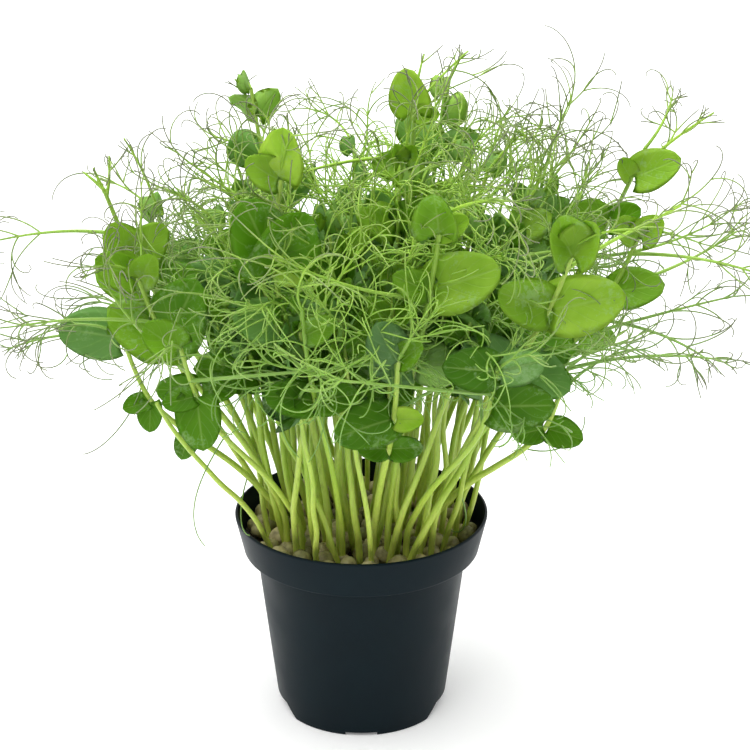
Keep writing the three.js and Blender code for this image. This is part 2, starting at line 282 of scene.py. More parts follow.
def pea_leaf():
    """A pea leaf: a thin satin blade that glows where light comes through it, with a pale midrib,
    fanned side veins and silvery flecks. Its tone runs from dark green to yellow-green, partly at
    random and partly as painted shade on leaves low in the clump and painted light on the new ones
    at its top; the underside has a bluish bloom of wax."""
    material, tree, place = new_material("pea leaf")
    blade = add(tree, "ShaderNodeUVMap", uv_map="blade").outputs["UV"]
    split = add(tree, "ShaderNodeSeparateXYZ", {"Vector": blade})
    tone = add(tree, "ShaderNodeAttribute", attribute_name="tone").outputs["Fac"]
    # the dark end of this tone ramp is painted shade for leaves low in the clump, and the pale end
    # painted light for the top ones
    ramp = add(tree, "ShaderNodeValToRGB", {"Fac": tone})
    ramp.color_ramp.elements[0].color = linear("#2a5c10")
    ramp.color_ramp.elements[1].color = linear("#bfe054")
    middle = ramp.color_ramp.elements.new(0.5)
    middle.color = linear("#669c18")
    # the upper face has U from 0 to 1, and the underside from 1 to 2
    below = add(tree, "ShaderNodeMath", {0: split.outputs["X"], 1: 1.0}, operation="GREATER_THAN")
    aside = add(tree, "ShaderNodeMath", {0: split.outputs["X"], 1: 1.0}, operation="PINGPONG")
    side = add(tree, "ShaderNodeMath", {0: aside, 1: 0.5}, operation="SUBTRACT")
    off = add(tree, "ShaderNodeMath", {0: side}, operation="ABSOLUTE")
    # side veins leave the midrib nine times along the blade and sweep towards its tip
    sweep = add(tree, "ShaderNodeMath", {0: off, 1: -1.1, 2: split.outputs["Y"]},
                operation="MULTIPLY_ADD")
    warp = add(tree, "ShaderNodeTexNoise", {"Vector": place, "Scale": spaced(6), "Detail": 2})
    bent = add(tree, "ShaderNodeMath", {0: warp, 1: 0.06, 2: sweep}, operation="MULTIPLY_ADD")
    count = add(tree, "ShaderNodeMath", {0: bent, 1: 9.0}, operation="MULTIPLY")
    wave = add(tree, "ShaderNodeMath", {0: count, 1: 1.0}, operation="PINGPONG")
    veins = add(tree, "ShaderNodeMapRange", {
        "Value": wave, "From Min": 0.2, "From Max": 0.02, "To Max": 0.5})
    midrib = add(tree, "ShaderNodeMapRange", {
        "Value": off, "From Min": 0.035, "From Max": 0.01})
    lines = add(tree, "ShaderNodeMath", {0: veins, 1: midrib}, operation="MAXIMUM")
    fleck = add(tree, "ShaderNodeTexNoise", {
        "Vector": place, "Scale": spaced(2.4), "Detail": 3, "Roughness": 0.7})
    where = add(tree, "ShaderNodeTexNoise", {"Vector": place, "Scale": spaced(18), "Detail": 1})
    flecked = add(tree, "ShaderNodeMath", {0: fleck, 1: where}, operation="MULTIPLY")
    silver = add(tree, "ShaderNodeMapRange", {
        "Value": flecked, "From Min": 0.29, "From Max": 0.4, "To Max": 0.45})
    clouds = add(tree, "ShaderNodeTexNoise", {"Vector": place, "Scale": spaced(11), "Detail": 3})
    shade = add(tree, "ShaderNodeMapRange", {
        "Value": clouds, "From Min": 0.3, "From Max": 0.7, "To Max": 0.8})
    veined = add(tree, "ShaderNodeMath", {0: lines, 1: 0.34}, operation="MULTIPLY")
    bloom = add(tree, "ShaderNodeMath", {0: below, 1: 0.34}, operation="MULTIPLY")
    colour = ramp
    for share, tint, blend in ((shade, "#c4dc88", "MULTIPLY"), (silver, "#b3cf92", "MIX"),
                               (veined, "#b2d070", "MIX"), (bloom, "#93bd86", "MIX")):
        colour = add(tree, "ShaderNodeMix", {"Factor": share, 6: colour, 7: linear(tint)},
                     data_type="RGBA", blend_type=blend)
    relief = add(tree, "ShaderNodeMath", {0: clouds, 1: lines}, operation="SUBTRACT")
    bump = add(tree, "ShaderNodeBump", {"Height": relief, "Strength": 0.45, "Distance": 0.0006})
    matt = add(tree, "ShaderNodeMapRange", {
        "Value": fleck, "To Min": 0.42, "To Max": 0.66})
    skin = add(tree, "ShaderNodeBsdfPrincipled", {
        "Base Color": colour, "Roughness": matt, "Normal": bump, "IOR": 1.42,
        "Specular IOR Level": 0.3})
    lit = add(tree, "ShaderNodeMix", {"Factor": 0.5, 6: colour, 7: linear("#b4dc1c")},
              data_type="RGBA")
    glow = add(tree, "ShaderNodeBsdfTranslucent", {"Color": lit})
    both = add(tree, "ShaderNodeMixShader", {"Fac": 0.42, 1: skin, 2: glow})
    return with_surface(material, both)


def tendril_skin():
    """The skin of stalks and tendrils: a darker waxy grey-green low down and yellower high up,
    partly new growth and partly painted shade low in the clump and painted light at its top, and
    dull grey at the fine, dry ends on the outside of the clump."""
    material, tree, place = new_material("tendril skin")
    tone = add(tree, "ShaderNodeAttribute", attribute_name="tone").outputs["Fac"]
    height = add(tree, "ShaderNodeSeparateXYZ", {"Vector": place}).outputs["Z"]
    # painted shade and light: darker grey-green low in the clump, yellower towards its top, partly
    # for the new growth there
    young_and_painted_light = add(tree, "ShaderNodeMapRange", {
        "Value": height, "From Min": 188 * MM, "From Max": 270 * MM})
    green = add(tree, "ShaderNodeMix", {
        "Factor": young_and_painted_light, 6: linear("#7c9f52"), 7: linear("#9cc240")}, data_type="RGBA")
    patches = add(tree, "ShaderNodeTexNoise", {"Vector": place, "Scale": spaced(17), "Detail": 3})
    share = add(tree, "ShaderNodeMapRange", {
        "Value": patches, "From Min": 0.4, "From Max": 0.7, "To Max": 0.6})
    mottled = add(tree, "ShaderNodeMix", {
        "Factor": share, 6: green, 7: linear("#628c22")}, data_type="RGBA")
    shallow = add(tree, "ShaderNodeMapping", {"Vector": place, "Scale": (1, 0.6, 1)})
    from_heart = add(tree, "ShaderNodeVectorMath", {0: shallow, 1: (0.01, 0.0, 0.17)},
                     operation="DISTANCE")
    outside = add(tree, "ShaderNodeMapRange", {
        "Value": from_heart.outputs["Value"], "From Min": 92 * MM, "From Max": 142 * MM})
    fine = add(tree, "ShaderNodeMapRange", {
        "Value": tone, "From Min": 0.22, "From Max": 0.75, "To Max": 0.97})
    dry = add(tree, "ShaderNodeMath", {0: fine, 1: outside}, operation="MULTIPLY")
    colour = add(tree, "ShaderNodeMix", {
        "Factor": dry, 6: mottled, 7: linear("#6a6e56")}, data_type="RGBA")
    grain = add(tree, "ShaderNodeTexNoise", {"Vector": place, "Scale": spaced(0.7), "Detail": 1})
    bump = add(tree, "ShaderNodeBump", {
        "Height": grain, "Strength": 0.2, "Distance": 0.0002})
    matt = add(tree, "ShaderNodeMapRange", {
        "Value": patches, "To Min": 0.4, "To Max": 0.6})
    shader = add(tree, "ShaderNodeBsdfPrincipled", {
        "Base Color": colour, "Roughness": matt, "Normal": bump,
        "Specular IOR Level": 0.35, "Subsurface Weight": 0.25,
        "Subsurface Radius": (0.6, 1.0, 0.2), "Subsurface Scale": 0.001})
    return with_surface(material, shader)


POLYPROPYLENE = moulded_polypropylene()
PEAT = moist_peat()
PEA_COAT = swollen_pea_coat()
STEM = waxy_stem()
LEAF = pea_leaf()
TENDRIL = tendril_skin()


# ---- Geometry node trees ----

def new_tree(name, inputs):
    """A geometry tree with a Geometry input and output and the named inputs given."""
    tree = bpy.data.node_groups.new(name, "GeometryNodeTree")
    tree.interface.new_socket("Geometry", in_out="INPUT", socket_type="NodeSocketGeometry")
    for label, kind in inputs.items():
        tree.interface.new_socket(label, in_out="INPUT", socket_type=kind)
    tree.interface.new_socket("Geometry", in_out="OUTPUT", socket_type="NodeSocketGeometry")
    return tree, tree.nodes.new("NodeGroupInput")


def end_tree(tree, given, geometry):
    """Makes a tree's result plain geometry in the material that it was given."""
    real = add(tree, "GeometryNodeRealizeInstances", {"Geometry": geometry})
    done = add(tree, "GeometryNodeSetMaterial", {
        "Geometry": real, "Material": given.outputs["Material"]})
    add(tree, "NodeGroupOutput", {"Geometry": done})
    return tree


def tube_tree():
    """Turns chains of edges into filled tubes, as thick at each point as its thickness says."""
    tree, given = new_tree("tubes along paths", {
        "Ribs": "NodeSocketInt", "Rib Depth": "NodeSocketFloat", "Material": "NodeSocketMaterial"})
    curve = add(tree, "GeometryNodeMeshToCurve", {"Mesh": given.outputs["Geometry"]})
    thickness = add(tree, "GeometryNodeInputNamedAttribute", {"Name": "thickness"})
    inner = add(tree, "ShaderNodeMath", {0: 1.0, 1: given.outputs["Rib Depth"]},
                operation="SUBTRACT")
    section = add(tree, "GeometryNodeCurveStar", {
        "Points": given.outputs["Ribs"], "Inner Radius": inner, "Outer Radius": 1.0})
    tube = add(tree, "GeometryNodeCurveToMesh", {
        "Curve": curve, "Profile Curve": section.outputs[0], "Scale": thickness,
        "Fill Caps": True})
    smooth = add(tree, "GeometryNodeSetShadeSmooth", {"Geometry": tube})
    return end_tree(tree, given, smooth)


def scatter_tree():
    """Sets one of a collection's shapes on each point, turned and sized as the point says."""
    tree, given = new_tree("shapes on points", {
        "Shapes": "NodeSocketCollection", "Material": "NodeSocketMaterial"})
    shapes = add(tree, "GeometryNodeCollectionInfo", {
        "Collection": given.outputs["Shapes"], "Separate Children": True, "Reset Children": True})
    turn = add(tree, "GeometryNodeInputNamedAttribute", {"Name": "turn"},
               data_type="FLOAT_VECTOR")
    size = add(tree, "GeometryNodeInputNamedAttribute", {"Name": "size"})
    kind = add(tree, "GeometryNodeInputNamedAttribute", {"Name": "shape"}, data_type="INT")
    placed = add(tree, "GeometryNodeInstanceOnPoints", {
        "Points": given.outputs["Geometry"], "Instance": shapes, "Pick Instance": True,
        "Instance Index": kind, "Rotation": turn, "Scale": size})
    smooth = add(tree, "GeometryNodeSetShadeSmooth", {"Geometry": placed})
    return end_tree(tree, given, smooth)


def made_mesh(piece):
    """The mesh that a piece's modifiers make of it."""
    evaluated = piece.evaluated_get(bpy.context.evaluated_depsgraph_get())
    return bpy.data.meshes.new_from_object(evaluated)


def grown(name, source, tree, **inputs):
    """Runs a tree on a source mesh and returns the result as a plain mesh object."""
    seed = bpy.data.objects.new(name + "_source", source)
    bpy.context.scene.collection.objects.link(seed)
    modifier = seed.modifiers.new("tree", "NODES")
    modifier.node_group = tree
    for socket in tree.interface.items_tree:
        if socket.in_out == "INPUT" and socket.name.replace(" ", "_") in inputs:
            modifier[socket.identifier] = inputs[socket.name.replace(" ", "_")]
    mesh = made_mesh(seed)
    mesh.name = name
    bpy.data.objects.remove(seed)
    return shown(name, mesh)


def shown(name, mesh):
    """A mesh as an object in the scene."""
    piece = bpy.data.objects.new(name, mesh)
    bpy.context.scene.collection.objects.link(piece)
    return piece


TUBES = tube_tree()
SCATTER = scatter_tree()


def scattered(name, shapes, points, material):
    """Sets the shapes on their points, each a dictionary of place, turn, size, shape and tone."""
    kinds = bpy.data.collections.new(name + " shapes")
    for i, shape in enumerate(shapes):
        kind = as_object(f"{name}_{i}", shape)
        bpy.context.scene.collection.objects.unlink(kind)
        kinds.objects.link(kind)
    mesh = bpy.data.meshes.new(name + "_points")
    mesh.from_pydata([point["place"] for point in points], [], [])
    for label, field_type, field in (("turn", "FLOAT_VECTOR", "vector"), ("size", "FLOAT", "value"),
                                     ("shape", "INT", "value"), ("tone", "FLOAT", "value")):
        values = mesh.attributes.new(label, field_type, "POINT").data
        for value, point in zip(values, points):
            setattr(value, field, point[label])
    piece = grown(name, mesh, SCATTER, Shapes=kinds, Material=material)
    for kind in list(kinds.objects):
        bpy.data.objects.remove(kind)
    bpy.data.collections.remove(kinds)
    return piece


# ---- Pot ----

def ring_profile(inset, bottom, top):
    """The wall's outside, or the surface that lies inset inside it: (radius, height) pairs."""
    slope = (SHOULDER_RADIUS - BASE_RADIUS) / COLLAR_BOTTOM
    shoulder = COLLAR_BOTTOM + inset
    corner = SHOULDER_RADIUS - inset
    collar = COLLAR_FOOT_RADIUS - inset
    fillet = [(corner + 1.0 * (1 - math.cos(a)), shoulder - 1.0 + 1.0 * math.sin(a))
              for a in (0.0, 0.5, 1.0, math.pi / 2)]
    edge = [(collar - 1.1 + 1.1 * math.sin(a), shoulder + 1.1 - 1.1 * math.cos(a))
            for a in (0.0, 0.4, 0.8, 1.2, math.pi / 2)]
    foot = BASE_RADIUS + slope * bottom - inset
    return [(0, bottom), (foot - 0.4, bottom), (foot, bottom + 0.4)] + fillet + edge + [
        (RIM_RADIUS - inset, top)]


def turned(profile, sides=192):
    """A closed solid of revolution about Z."""
    shape = bmesh.new()
    rings = []
    for radius, height in profile:
        if radius < 1e-6:
            rings.append([shape.verts.new((0, 0, height * MM))])
            continue
        rings.append([shape.verts.new((radius * MM * math.cos(2 * math.pi * i / sides),
                                       radius * MM * math.sin(2 * math.pi * i / sides),
                                       height * MM)) for i in range(sides)])
    for low, high in zip(rings, rings[1:]):
        for i in range(sides):
            j = (i + 1) % sides
            corners = [low[i % len(low)], low[j % len(low)], high[j % len(high)],
                       high[i % len(high)]]
            shape.faces.new(list(dict.fromkeys(corners)))
    bmesh.ops.recalc_face_normals(shape, faces=shape.faces)
    return shape


def block(outline, length, along_x):
    """A bar whose section is (across, height) pairs, along X or along Y."""
    shape = bmesh.new()
    ends = []
    for end in (-length / 2, length / 2):
        ends.append([shape.verts.new(((end, a, z) if along_x else (a, end, z)))
                     for a, z in outline])
    shape.faces.new(ends[0])
    shape.faces.new(ends[1])
    for i in range(len(outline)):
        j = (i + 1) % len(outline)
        shape.faces.new([ends[0][i], ends[0][j], ends[1][j], ends[1][i]])
    bmesh.ops.scale(shape, vec=(MM, MM, MM), verts=shape.verts)
    bmesh.ops.recalc_face_normals(shape, faces=shape.faces)
    return shape


def as_object(name, shape):
    """A finished shape as an object in the scene."""
    mesh = bpy.data.meshes.new(name)
    shape.to_mesh(mesh)
    shape.free()
    return shown(name, mesh)


def cut(piece, tool, operation="DIFFERENCE"):
    """Cuts a tool from a piece, or joins it to it, and removes the tool."""
    modifier = piece.modifiers.new("cut", "BOOLEAN")
    modifier.object = tool
    modifier.operation = operation
    modifier.solver = "EXACT"
    mesh = made_mesh(piece)
    piece.modifiers.clear()
    piece.data = mesh
    bpy.data.objects.remove(tool)


def underside(margin):
    """The space under the pot's floor, grown all round by margin."""
    lift = FLOOR_LIFT + margin
    recess = as_object("underside", turned([
        (0, -1), (FLOOR_RADIUS + margin, -1), (FLOOR_RADIUS + margin, lift), (0, lift)]))
    top = SIDE_GAP_TOP + margin
    foot = SIDE_GAP_FOOT + margin
    side = [(-foot, -1), (foot, -1), (foot, 0), (top, lift), (-top, lift), (-foot, 0)]
    cut(recess, as_object("side gap", block(side, 130, True)), "UNION")
    half = FRONT_GAP + margin
    high = FRONT_GAP_HEIGHT + margin
    front = [(-half, -1), (half, -1), (half, high), (-half, high)]
    cut(recess, as_object("front gap", block(front, 130, False)), "UNION")
    return recess


def make_pot():
    """The moulding: a rolled rim, a deep collar, a wall, a raised floor with drains, four feet."""
    lip = [(RIM_RADIUS - 0.6 + 0.6 * math.cos(a), POT_HEIGHT - 0.6 + 0.6 * math.sin(a))
           for a in (0.0, 0.5, 1.0, math.pi / 2)]
    outside = ring_profile(0, 0, POT_HEIGHT - 1.2) + lip + [(0, POT_HEIGHT)]
    inside = ring_profile(WALL, WALL, POT_HEIGHT - 0.3) + [
        (RIM_RADIUS - WALL + 0.3, POT_HEIGHT + 1), (0, POT_HEIGHT + 1)]
    pot = as_object("pot_moulding", turned(outside))
    hollow = as_object("hollow", turned(inside))
    cut(pot, underside(0))
    cut(hollow, underside(WALL))
    cut(pot, hollow)
    for i in range(7):
        drain = turned([(0, 0), (DRAIN_RADIUS, 0), (DRAIN_RADIUS, 12), (0, 12)], 24)
        if i:
            turn = Matrix.Rotation(i * math.pi / 3, 4, "Z")
            place = turn @ Vector((DRAIN_CIRCLE * MM, 0, 0))
            bmesh.ops.translate(drain, vec=place, verts=drain.verts)
        cut(pot, as_object("drain", drain))
    pot.data.materials.clear()
    pot.data.materials.append(POLYPROPYLENE)
    pot.data.shade_smooth()
    pot.data.set_sharp_from_angle(angle=math.radians(32))
    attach(pot, "root")
    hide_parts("pot")


# ---- Filling ----

def make_peat():
    """The plug of peat: its sides follow the pot, and its top is lumpy."""
    gap = WALL + 0.3
    profile = [(r, z) for r, z in ring_profile(gap, FLOOR_LIFT + gap, POT_HEIGHT) if z < PEAT_TOP]
    rise = (PEAT_TOP - COLLAR_BOTTOM) / (POT_HEIGHT - COLLAR_BOTTOM)
    edge = COLLAR_FOOT_RADIUS + rise * (RIM_RADIUS - COLLAR_FOOT_RADIUS) - gap
    crown = [(edge * (1 - i / 24), PEAT_TOP) for i in range(24)]
    shape = turned(profile + crown + [(0, PEAT_TOP)], 96)
    rng = random.Random(5)
    for corner in shape.verts:
        if corner.co.z > (PEAT_TOP - 0.1) * MM and corner.co.xy.length < (edge - 1) * MM:
            corner.co.z += rng.uniform(-1.6, 0.6) * MM
    peat = as_object("peat_plug", shape)
    peat.data.materials.append(PEAT)
    peat.data.shade_smooth()
    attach(peat, "root")
    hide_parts("growing_medium")


def pea_shape(dent, length):
    """A pea of radius 1: nearly round, longer one way, with a dent at one end and a low crease."""
    shape = bmesh.new()
    bmesh.ops.create_uvsphere(shape, u_segments=12, v_segments=8, radius=1)
    for corner in shape.verts:
        place = corner.co
        place.x *= length
        place.z *= 0.93
        place *= 1 - dent * max(0.0, place.normalized().x) ** 6
        place *= 1 - 0.5 * dent * max(0.0, 1 - 6 * abs(place.y)) * max(0.0, place.z)
    return shape


def make_peas():
    """A bed of peas in four shapes, laid out as a sunflower's seeds are, each a little higher or
    lower than the next."""
    shapes = [pea_shape(*form) for form in ((0.15, 1.0), (0.3, 1.14), (0.08, 0.94), (0.42, 1.08))]
    rng = random.Random(11)
    points = []
    for i in range(PEAS):
        reach = BED_RADIUS * math.sqrt((i + 0.5) / PEAS) + rng.uniform(-1.2, 1.2)
        reach = min(reach, BED_RADIUS - 2)
        turn = i * GOLDEN_ANGLE + rng.uniform(-0.06, 0.06)
        height = PEAT_TOP + rng.uniform(1.2, 5.5)
        points.append({
            "place": (reach * MM * math.cos(turn), reach * MM * math.sin(turn), height * MM),
            "turn": [rng.uniform(0, 2 * math.pi) for _ in range(3)],
            "size": PEA_RADIUS * MM * rng.uniform(0.78, 1.22), "shape": i % 4,
            "tone": rng.random()})
    bed = scattered("pea_bed", shapes, points, PEA_COAT)
    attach(bed, "root")
    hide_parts("sprouted_peas")


# ---- Shoots ----

class Paths:
    """Chains of points, each with a thickness and a tone, that become tubes."""

    def __init__(self):
        self.corners, self.edges, self.thickness, self.tone = [], [], [], []

    def put(self, points, thickness, tone):
        start = len(self.corners)
        self.corners += [tuple(point) for point in points]
        self.edges += [(start + i, start + i + 1) for i in range(len(points) - 1)]
        self.thickness += thickness
        self.tone += tone

    def mesh(self, name):
        mesh = bpy.data.meshes.new(name)
        mesh.from_pydata(self.corners, self.edges, [])
        for label in ("thickness", "tone"):
            values = mesh.attributes.new(label, "FLOAT", "POINT").data
            values.foreach_set("value", getattr(self, label))
        return mesh


def mix(low, high, share):
    return low + (high - low) * share


def taper(low, high, steps, power=1.0):
    """Values from low to high at steps + 1 points of a path."""
    return [mix(low, high, (k / steps) ** power) for k in range(steps + 1)]


def smooth_path(knots, steps):
    """A Catmull-Rom curve through knots, as steps + 1 points at even shares of it."""
    ends = [2 * knots[0] - knots[1]] + knots + [2 * knots[-1] - knots[-2]]
    points = []
    for i in range(steps + 1):
        at = i / steps * (len(knots) - 1)
        k = min(int(at), len(knots) - 2)
        t = at - k
        a, b, c, d = ends[k:k + 4]
        points.append(0.5 * ((2 * b) + (c - a) * t + (2 * a - 5 * b + 4 * c - d) * t * t
                             + (3 * b - a - 3 * c + d) * t ** 3))
    return points


def cad_centreline(number):
    """The middle of each ring of a CAD stem, from its foot up."""
    mesh = frame["nodes"][f"shoot_{number:02d}_stem"].data
    places = {tuple(round(c, 6) for c in corner.co) for corner in mesh.vertices}
    rings = sorted(places, key=lambda place: place[2])
    return [sum((Vector(p) for p in rings[i:i + CAD_STEM_SIDES]), Vector()) / CAD_STEM_SIDES
            for i in range(0, len(rings) - CAD_STEM_SIDES + 1, CAD_STEM_SIDES)]


def other_centreline(i, rng):
    """A stem between the CAD ones: rooted by the sunflower rule, leaning out as they do, and
    slightly kinked."""
    share = math.sqrt((i + 0.5) / OTHER_SHOOTS)
    azimuth = i * GOLDEN_ANGLE + 0.9
    root = ROOT_CIRCLE * share
    reach = mix(*TIP_REACH, share) * rng.uniform(0.78, 1.12)
    height = mix(*TIP_HEIGHT, share ** 2) * rng.uniform(0.85, 1.03)
    away = azimuth + rng.choice((0.3, 0.5, 1.0)) * rng.uniform(-1, 1) * mix(*TIP_STRAY, share)
    height += (RISE_RIGHT if math.cos(away) > 0 else FALL_LEFT) * reach * math.cos(away)
    lean = math.radians(mix(*TIP_LEAN, share))
    foot = Vector((root * math.cos(azimuth), root * math.sin(azimuth), PEAT_TOP)) * MM
    outward = Vector((math.cos(away), math.sin(away), 0))
    tip = Vector((reach * math.cos(away), reach * math.sin(away), height)) * MM
    length = (tip - foot).length
    rising = foot + (UP * 0.3 + outward * 0.1) * length
    leaning = tip - (UP * math.cos(lean) + outward * math.sin(lean)) * 0.36 * length
    points = [foot * (1 - t) ** 3 + rising * 3 * t * (1 - t) ** 2
              + leaning * 3 * t * t * (1 - t) + tip * t ** 3 for t in [k / 8 for k in range(9)]]
    for point in points[1:-1]:
        point += Vector((rng.uniform(-1, 1), rng.uniform(-1, 1), 0)) * KINK * MM
    return points


def inside_reach(place):
    """Whether a place is under the dome that the tendrils fill, and over the bare stems."""
    past_crown = max(0.0, math.hypot(place.x - CROWN_X, place.y) - CROWN_RADIUS)
    past_skirt = max(0.0, math.hypot(place.x, place.y) - SKIRT_RADIUS)
    drop = min(DEEPEST_DROP, (DROP_LEFT if place.x < 0 else DROP_RIGHT) * past_crown)
    floor = SKIRT_HEIGHT + SKIRT_SLOPE * past_skirt
    return (abs(place.x) < REACH_X and abs(place.y) < REACH_Y
            and floor < place.z < TOP - drop)


def over_table(place):
    return place.z > TABLE_CLEARANCE


def across(rng, along):
    """A direction at right angles to another, turned at random."""
    return along.cross(Vector((rng.gauss(0, 1), rng.gauss(0, 1), rng.gauss(0, 1)))).normalized()


def curling(rng, start, heading, length, curve, hook, sag=0.0, within=inside_reach):
    """A path that leaves start along heading and bends: gently at first, and into a hook."""
    steps = max(6, round(length / (2.4 * MM)))
    heading = heading.normalized()
    axis = across(rng, heading)
    points = [start]
    for i in range(steps):
        share = (i + 1) / steps
        angle = curve / steps + hook * share ** 4 * 2.6 / steps
        heading = Quaternion(axis, angle) @ heading
        axis = Quaternion(heading, rng.uniform(-0.14, 0.14)) @ axis
        heading = (heading - UP * sag / steps).normalized()
        place = points[-1] + heading * length / steps
        if not within(place):
            break
        points.append(place)
    return points


def direction_at(points, share):
    i = min(int(share * (len(points) - 1)), len(points) - 2)
    return (points[i + 1] - points[i]).normalized()


def point_at(points, share):
    at = share * (len(points) - 1)
    i = min(int(at), len(points) - 2)
    return points[i].lerp(points[i + 1], at - i)


def tendril(rng, paths, start, heading, length, thick, forks):
    """One tendril, with this many forks near its middle."""
    curve, hook = rng.uniform(0.4, 2.0), rng.uniform(0.1, 3.2)
    path = curling(rng, start, heading, length, curve, hook, TENDRIL_SAG)
    if len(path) < 3:
        return
    count = len(path) - 1
    paths.put(path, taper(thick, FINEST * MM, count, 0.8), taper(0.3, 1.0, count))
    for _ in range(forks):
        at = rng.uniform(0.25, 0.6)
        along = direction_at(path, at)
        tendril(rng, paths, point_at(path, at), along + across(rng, along) * rng.uniform(0.35, 0.7),
                length * rng.uniform(0.45, 0.8), mix(thick, FINEST * MM, 0.4), 0)


def spray(rng, paths, start, heading, length, fullness, bend=None):
    """A leaf stalk that ends in pairs of tendrils and one more at its tip."""
    bend = rng.uniform(0.3, 1.0) if bend is None else bend
    stalk = curling(rng, start, heading, length, bend, 0.0, STALK_SAG)
    if len(stalk) < 4:
        return
    count = len(stalk) - 1
    foot = mix(0.7, 1.05, fullness) * MM
    paths.put(stalk, taper(foot, TENDRIL_RADIUS * MM, count), taper(0.0, 0.3, count))
    pairs = 2 if fullness < 0.3 else 3
    for i in range(pairs):
        at = mix(0.62, 0.98, i / (pairs - 1))
        along = direction_at(stalk, at)
        side = across(rng, along)
        for hand in (-1, 1):
            tendril(rng, paths, point_at(stalk, at),
                    along * rng.uniform(0.8, 1.5) + side * hand * rng.uniform(0.5, 1.0),
                    rng.uniform(20, 52) * MM * mix(1.0, 0.75, i / pairs), TENDRIL_RADIUS * MM,
                    rng.choice((0, 0, 1, 1, 2)))
    tendril(rng, paths, stalk[-1], direction_at(stalk, 1.0), rng.uniform(20, 46) * MM,
            TENDRIL_RADIUS * MM, 1)


def blade_shape(cup, fold, curl, ripple, columns, rows):
    """A leaf of length 1 lying along +Y and facing +Z: ovate with lobes at its base, closed. Its
    chart runs from 0 to 1 across the upper face, and from 1 to 2 across the underside."""
    width, thick, lobe = 0.41, 0.011, 0.13
    shape = bmesh.new()
    chart = shape.loops.layers.uv.new("blade")
    grid = {}
    for face in (1, -1):
        for j in range(rows + 1):
            v = j / rows
            half = width * abs(math.sin(math.pi * (0.07 + 0.93 * v) ** 0.74)) ** 0.52
            for i in range(columns + 1):
                u = 2 * i / columns - 1
                rim = i in (0, columns) or j in (0, rows)
                if face == -1 and rim:
                    grid[face, i, j] = grid[1, i, j]
                    continue
                if j == rows and i:
                    grid[face, i, j] = grid[face, 0, j]
                    continue
                x = u * half
                z = cup * x * x + fold * abs(x) + curl * (v - 0.25) ** 2
                z += ripple * math.sin(9 * v + 2 * u) * u * u
                z += 0 if rim else face * thick / 2
                y = (v - lobe * u * u * (1 - v) ** 3) * (1 - 0.25 * abs(curl))
                grid[face, i, j] = shape.verts.new((x, y, z))
        for j in range(rows):
            for i in range(columns):
                keys = [(i, j), (i + 1, j), (i + 1, j + 1), (i, j + 1)]
                spots = {grid[face, a, b]: (a, b) for a, b in reversed(keys)}
                corners = list(dict.fromkeys(grid[face, a, b] for a, b in keys))
                if len(corners) < 3:
                    continue
                made = shape.faces.new(corners if face == 1 else corners[::-1])
                for loop in made.loops:
                    a, b = spots[loop.vert]
                    u = a / columns if face == 1 else 1.001 + 0.998 * a / columns
                    loop[chart].uv = (u, b / rows)
    return shape


def leaf_point(axis, facing, place, length, shape, tone):
    """Where a leaf sits: its length along axis, its face as nearly as it can towards facing."""
    y = axis.normalized()
    x = y.cross(facing).normalized()
    z = x.cross(y)
    turn = Matrix((x, y, z)).transposed().to_euler()
    return {"place": place, "turn": tuple(turn), "size": length, "shape": shape, "tone": tone}


# Leaf shapes: how cupped, how folded along the midrib, how curled from end to end, how rippled
BLADES = [(0.5, 0.05, -0.12, 0.02), (0.9, 0.12, 0.2, 0.03), (0.2, 0.3, -0.3, 0.05),
          (1.6, 0.2, 0.35, 0.02), (0.1, 0.7, 0.1, 0.03), (-0.5, 0.0, -0.35, 0.05)]
FLAT, HOLLOW, CREASED, CUPPED, FOLDED, DROOPING = range(6)
